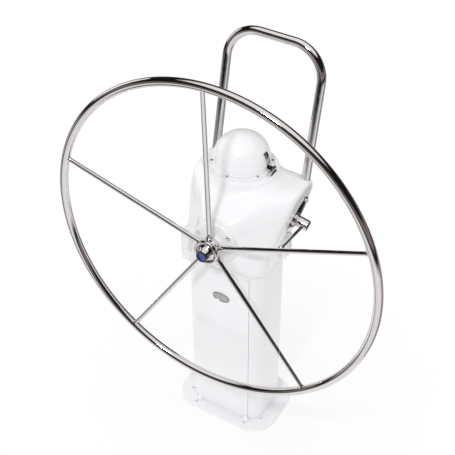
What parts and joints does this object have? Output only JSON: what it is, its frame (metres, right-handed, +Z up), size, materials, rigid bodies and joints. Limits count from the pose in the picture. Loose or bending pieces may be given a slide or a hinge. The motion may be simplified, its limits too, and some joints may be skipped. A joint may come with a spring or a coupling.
{
  "type": "boat steering pedestal with wheel",
  "caption": "White boat steering pedestal with a large spoked steel wheel, domed compass cover, guard rail and side engine lever.",
  "frame": {"origin": "centre of the base flange's underside, where the pedestal stands on the cockpit sole", "axes": "+Z up, -Y toward the helmsman, +X to the helmsman's right"},
  "size_m": [1.0249, 0.4231, 1.2792],
  "materials": {
    "pedestal_column": "moulded glossy gel coat",
    "access_panel": "moulded glossy gel coat",
    "panel_foot_caps": "moulded glossy gel coat",
    "panel_badge": "polished stainless steel",
    "head_housing": "moulded glossy gel coat",
    "shaft_flange": "white enamelled alloy",
    "flange_screws": "polished stainless steel",
    "front_bearing": "satin stainless steel",
    "rear_bearing": "satin stainless steel",
    "output_bearing_front": "satin stainless steel",
    "output_bearing_rear": "satin stainless steel",
    "frame_plate_front": "machined alloy",
    "frame_plate_rear": "machined alloy",
    "frame_spacers": "machined alloy",
    "frame_bolts": "satin stainless steel",
    "compass_ring": "moulded glossy gel coat",
    "ring_screws": "polished stainless steel",
    "compass_bowl": "black moulding",
    "card_pivot": "satin stainless steel",
    "compass_glass": "clear dome",
    "hinge_bracket": "polished stainless steel",
    "hinge_pin": "polished stainless steel",
    "guard_rail": "polished stainless steel",
    "control_plate": "satin stainless steel",
    "control_bolts": "polished stainless steel",
    "control_body": "black moulding",
    "steering_shaft": "satin stainless steel",
    "wheel_rim": "polished stainless steel",
    "wheel_spokes": "polished stainless steel",
    "spoke_collars": "polished stainless steel",
    "wheel_hub": "polished stainless steel",
    "hub_nose": "polished stainless steel",
    "hub_disc": "blue enamel disc",
    "drive_pinion": "dark painted casting",
    "drive_gear": "dark painted casting",
    "output_shaft": "satin stainless steel",
    "output_crank": "machined alloy",
    "compass_card": "black moulding",
    "compass_cover": "moulded glossy gel coat",
    "hinge_leaf": "polished stainless steel",
    "control_spindle": "polished stainless steel",
    "control_lever": "polished stainless steel",
    "control_ball": "polished stainless steel"
  },
  "bodies": {
    "pedestal": {"pedestal_column": "pedestal_column", "access_panel": "access_panel", "panel_foot_caps": "panel_foot_caps", "panel_badge": "panel_badge", "head_housing": "head_housing", "shaft_flange": "shaft_flange", "flange_screws": "flange_screws", "front_bearing": "front_bearing", "rear_bearing": "rear_bearing", "output_bearing_front": "output_bearing_front", "output_bearing_rear": "output_bearing_rear", "frame_plate_front": "frame_plate_front", "frame_plate_rear": "frame_plate_rear", "frame_spacers": "frame_spacers", "frame_bolts": "frame_bolts", "compass_ring": "compass_ring", "ring_screws": "ring_screws", "compass_bowl": "compass_bowl", "card_pivot": "card_pivot", "compass_glass": "compass_glass", "hinge_bracket": "hinge_bracket", "hinge_pin": "hinge_pin", "guard_rail": "guard_rail", "control_plate": "control_plate", "control_bolts": "control_bolts", "control_body": "control_body"},
    "wheel": {"steering_shaft": "steering_shaft", "wheel_rim": "wheel_rim", "wheel_spokes": "wheel_spokes", "spoke_collars": "spoke_collars", "wheel_hub": "wheel_hub", "hub_nose": "hub_nose", "hub_disc": "hub_disc", "drive_pinion": "drive_pinion"},
    "output": {"drive_gear": "drive_gear", "output_shaft": "output_shaft", "output_crank": "output_crank"},
    "card": {"compass_card": "compass_card"},
    "cover": {"compass_cover": "compass_cover", "hinge_leaf": "hinge_leaf"},
    "lever": {"control_spindle": "control_spindle", "control_lever": "control_lever", "control_ball": "control_ball"}
  },
  "joints": [
    {"name": "wheel_turn", "type": "hinge", "parent": "pedestal", "child": "wheel", "pos_m": [0, -0.14, 0.768], "axis": [0, 0.9976, -0.0698], "range_deg": [-150, 150]},
    {"name": "output_turn", "type": "hinge", "parent": "pedestal", "child": "output", "pos_m": [0, -0.14753, 0.66026], "axis": [0, 0.9976, -0.0698], "range_deg": [-50, 50]},
    {"name": "card_spin", "type": "hinge", "parent": "pedestal", "child": "card", "pos_m": [-0.028, 0.084, 0.903], "axis": [0, 0, 1], "continuous": true},
    {"name": "cover_hinge", "type": "hinge", "parent": "pedestal", "child": "cover", "pos_m": [0.068, 0.084, 0.916], "axis": [0, 1, 0], "range_deg": [0, 95]},
    {"name": "lever_swing", "type": "hinge", "parent": "pedestal", "child": "lever", "pos_m": [0.16445, 0.084, 0.76465], "axis": [0.9842, 0, -0.1771], "range_deg": [-75, 30]}
  ],
  "couplings": [
    {"joint": "output_turn", "follows": "wheel_turn", "ratio": -0.33333}
  ]
}
